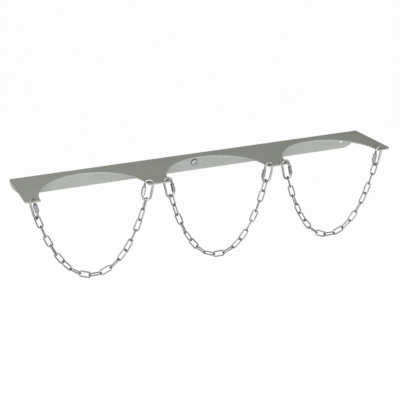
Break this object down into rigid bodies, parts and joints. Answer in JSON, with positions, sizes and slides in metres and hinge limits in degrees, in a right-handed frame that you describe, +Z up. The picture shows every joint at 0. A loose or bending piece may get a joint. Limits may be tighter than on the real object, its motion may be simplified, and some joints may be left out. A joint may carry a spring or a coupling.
{
  "type": "gas cylinder bracket",
  "caption": "Wall bracket for gas cylinders: a folded steel plate with round bays, each closed by a loose chain hung on quick links.",
  "frame": {"origin": "on the wall face, in the middle of the row of fixing holes", "axes": "+X along the wall, +Y into the wall, +Z up"},
  "size_m": [0.8854, 0.2033, 0.2121],
  "materials": {
    "grey_paint": "satin grey powder coat",
    "screw_zinc": "bright zinc",
    "quick_link_zinc": "bright zinc",
    "sleeve_zinc": "bright zinc",
    "chain_zinc": "dull zinc"
  },
  "bodies": {
    "bracket": {"bracket_plate": "grey_paint", "fixing_screw": "screw_zinc"},
    "left_chain": {"left_chain_left_quick_link": "quick_link_zinc", "left_chain_links_01_02": "chain_zinc", "left_chain_links_03_04": "chain_zinc", "left_chain_links_05_06": "chain_zinc", "left_chain_links_07_08": "chain_zinc", "left_chain_links_09_10": "chain_zinc", "left_chain_links_11_12": "chain_zinc", "left_chain_links_13_14": "chain_zinc", "left_chain_links_15_16": "chain_zinc", "left_chain_links_17": "chain_zinc", "left_chain_right_quick_link": "quick_link_zinc"},
    "left_chain_left_sleeve": {"left_chain_left_sleeve": "sleeve_zinc"},
    "left_chain_right_sleeve": {"left_chain_right_sleeve": "sleeve_zinc"},
    "middle_chain": {"middle_chain_left_quick_link": "quick_link_zinc", "middle_chain_links_01_02": "chain_zinc", "middle_chain_links_03_04": "chain_zinc", "middle_chain_links_05_06": "chain_zinc", "middle_chain_links_07_08": "chain_zinc", "middle_chain_links_09_10": "chain_zinc", "middle_chain_links_11_12": "chain_zinc", "middle_chain_links_13_14": "chain_zinc", "middle_chain_links_15_16": "chain_zinc", "middle_chain_links_17": "chain_zinc", "middle_chain_right_quick_link": "quick_link_zinc"},
    "middle_chain_left_sleeve": {"middle_chain_left_sleeve": "sleeve_zinc"},
    "middle_chain_right_sleeve": {"middle_chain_right_sleeve": "sleeve_zinc"},
    "right_chain": {"right_chain_left_quick_link": "quick_link_zinc", "right_chain_links_01_02": "chain_zinc", "right_chain_links_03_04": "chain_zinc", "right_chain_links_05_06": "chain_zinc", "right_chain_links_07_08": "chain_zinc", "right_chain_links_09_10": "chain_zinc", "right_chain_links_11_12": "chain_zinc", "right_chain_links_13_14": "chain_zinc", "right_chain_links_15_16": "chain_zinc", "right_chain_links_17": "chain_zinc", "right_chain_right_quick_link": "quick_link_zinc"},
    "right_chain_left_sleeve": {"right_chain_left_sleeve": "sleeve_zinc"},
    "right_chain_right_sleeve": {"right_chain_right_sleeve": "sleeve_zinc"}
  },
  "joints": [
    {"name": "left_chain_swing", "type": "hinge", "parent": "bracket", "child": "left_chain", "pos_m": [-0.43023, -0.15174, 0.02696], "axis": [0.9994, 0.0357, 0.0003], "range_deg": [-8, 3]},
    {"name": "left_chain_left_sleeve_travel", "type": "slide", "parent": "left_chain", "child": "left_chain_left_sleeve", "axis": [-0.2251, -0.008, 0.9743], "range_m": [0, 0.0071]},
    {"name": "left_chain_right_sleeve_travel", "type": "slide", "parent": "left_chain", "child": "left_chain_right_sleeve", "axis": [0.2251, 0.008, 0.9743], "range_m": [0, 0.0071]},
    {"name": "middle_chain_swing", "type": "hinge", "parent": "bracket", "child": "middle_chain", "pos_m": [-0.1255, -0.14435, 0.02645], "axis": [1, 0, 0], "range_deg": [-15, 15]},
    {"name": "middle_chain_left_sleeve_travel", "type": "slide", "parent": "middle_chain", "child": "middle_chain_left_sleeve", "axis": [-0.2031, 0, 0.9792], "range_m": [0, 0.0071]},
    {"name": "middle_chain_right_sleeve_travel", "type": "slide", "parent": "middle_chain", "child": "middle_chain_right_sleeve", "axis": [0.2031, 0, 0.9792], "range_m": [0, 0.0071]},
    {"name": "right_chain_swing", "type": "hinge", "parent": "bracket", "child": "right_chain", "pos_m": [0.16448, -0.14498, 0.02641], "axis": [1, -0.0099, 0.0012], "range_deg": [-10, 10]},
    {"name": "right_chain_left_sleeve_travel", "type": "slide", "parent": "right_chain", "child": "right_chain_left_sleeve", "axis": [-0.2035, 0.002, 0.9791], "range_m": [0, 0.0071]},
    {"name": "right_chain_right_sleeve_travel", "type": "slide", "parent": "right_chain", "child": "right_chain_right_sleeve", "axis": [0.2033, -0.002, 0.9791], "range_m": [0, 0.0071]}
  ]
}
